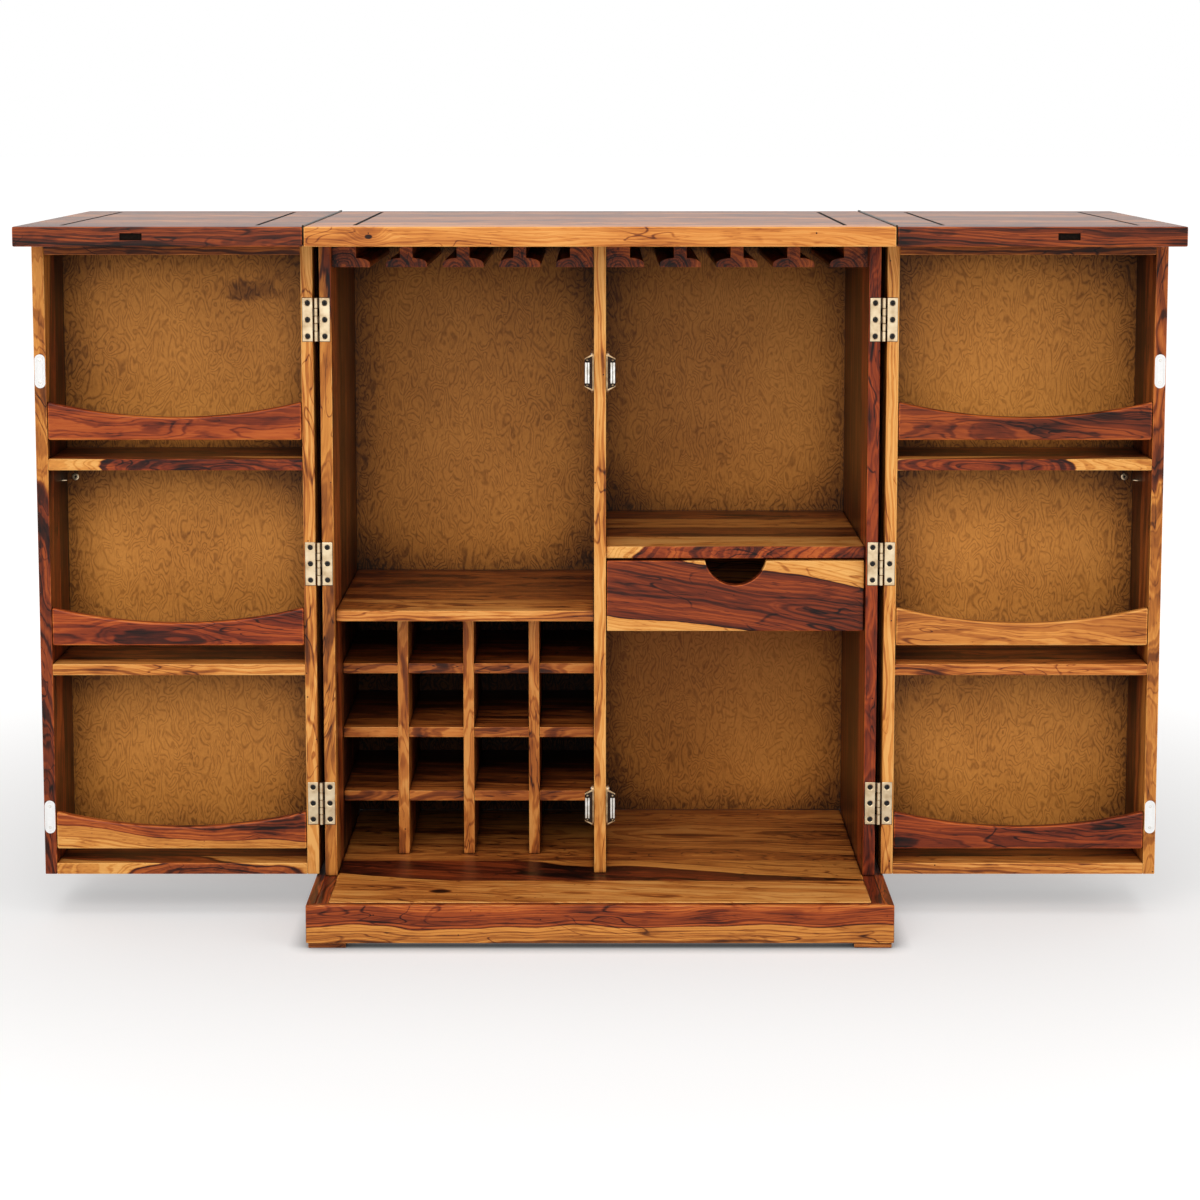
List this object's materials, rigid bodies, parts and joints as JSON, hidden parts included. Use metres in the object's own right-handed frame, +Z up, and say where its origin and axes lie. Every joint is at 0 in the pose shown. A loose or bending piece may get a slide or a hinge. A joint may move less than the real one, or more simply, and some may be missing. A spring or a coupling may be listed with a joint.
{
  "type": "folding bar cabinet",
  "caption": "Wooden bar cabinet with box doors, a folding winged top, a bottle rack, hanging glass rails, shelves and a drawer.",
  "frame": {"origin": "on the floor under the middle of the open cabinet", "axes": "+X to the viewer's right along the open top, +Y to the back, +Z up"},
  "size_m": [1.596, 0.56, 1.002],
  "materials": {
    "dark_rosewood": "satin lacquer",
    "light_rosewood": "satin lacquer",
    "veneered_ply": "satin stain",
    "brass": "satin",
    "zinc_steel": "zinc plated",
    "white_enamel": "satin enamel",
    "black_screw": "dark oxide"
  },
  "bodies": {
    "root": {"foot_front_left": "dark_rosewood", "foot_rear_left": "dark_rosewood", "foot_front_right": "dark_rosewood", "foot_rear_right": "dark_rosewood", "plinth_frame": "dark_rosewood", "left_side": "dark_rosewood", "right_side": "dark_rosewood", "right_shelf": "dark_rosewood", "rack_shelf_1": "dark_rosewood", "rack_shelf_2": "dark_rosewood", "rack_shelf_3": "dark_rosewood", "base_board": "light_rosewood", "partition": "light_rosewood", "centre_top": "light_rosewood", "left_shelf": "light_rosewood", "rack_upright_1": "light_rosewood", "rack_upright_2": "light_rosewood", "rack_upright_3": "light_rosewood", "back_panel": "veneered_ply", "stem_rail_left_1": "dark_rosewood", "stem_rail_left_2": "dark_rosewood", "stem_rail_left_3": "dark_rosewood", "stem_rail_right_1": "dark_rosewood", "stem_rail_right_2": "dark_rosewood", "stem_rail_right_3": "dark_rosewood", "catch_left_lower": "zinc_steel", "catch_left_upper": "zinc_steel", "catch_right_lower": "zinc_steel", "catch_right_upper": "zinc_steel", "left_hinge_lower_carcass_leaf": "brass", "left_hinge_middle_carcass_leaf": "brass", "left_hinge_upper_carcass_leaf": "brass", "left_lid_hinge_centre_leaf": "brass", "right_hinge_lower_carcass_leaf": "brass", "right_hinge_middle_carcass_leaf": "brass", "right_hinge_upper_carcass_leaf": "brass", "right_lid_hinge_centre_leaf": "brass"},
    "left_door": {"left_door_case": "dark_rosewood", "left_guard_lower": "dark_rosewood", "left_guard_middle": "dark_rosewood", "left_guard_upper": "dark_rosewood", "left_door_panel": "veneered_ply", "left_hinge_lower_door_leaf": "brass", "left_hinge_middle_door_leaf": "brass", "left_hinge_upper_door_leaf": "brass"},
    "left_wing": {"left_wing_top": "dark_rosewood", "left_lid_hinge_wing_leaf": "brass"},
    "right_door": {"right_door_case": "dark_rosewood", "right_guard_lower": "dark_rosewood", "right_guard_middle": "dark_rosewood", "right_guard_upper": "dark_rosewood", "right_door_panel": "veneered_ply", "right_hinge_lower_door_leaf": "brass", "right_hinge_middle_door_leaf": "brass", "right_hinge_upper_door_leaf": "brass"},
    "right_wing": {"right_wing_top": "dark_rosewood", "right_lid_hinge_wing_leaf": "brass"},
    "drawer": {"drawer_front": "dark_rosewood", "drawer_box": "dark_rosewood", "drawer_bottom": "veneered_ply"}
  },
  "joints": [
    {"name": "left_door_hinge", "type": "hinge", "parent": "root", "child": "left_door", "pos_m": [-0.3995, -0.131, 0.0631], "axis": [0, 0, 1], "range_deg": [0, 180]},
    {"name": "right_door_hinge", "type": "hinge", "parent": "root", "child": "right_door", "pos_m": [0.3995, -0.131, 0.0631], "axis": [0, 0, -1], "range_deg": [0, 180]},
    {"name": "left_wing_hinge", "type": "hinge", "parent": "root", "child": "left_wing", "pos_m": [-0.4005, 0, 1.0005], "axis": [0, 1, 0], "range_deg": [0, 180]},
    {"name": "right_wing_hinge", "type": "hinge", "parent": "root", "child": "right_wing", "pos_m": [0.4005, 0, 1.0005], "axis": [0, -1, 0], "range_deg": [0, 180]},
    {"name": "drawer_slide", "type": "slide", "parent": "root", "child": "drawer", "axis": [0, 1, 0], "range_m": [-0.25, 0]}
  ]
}
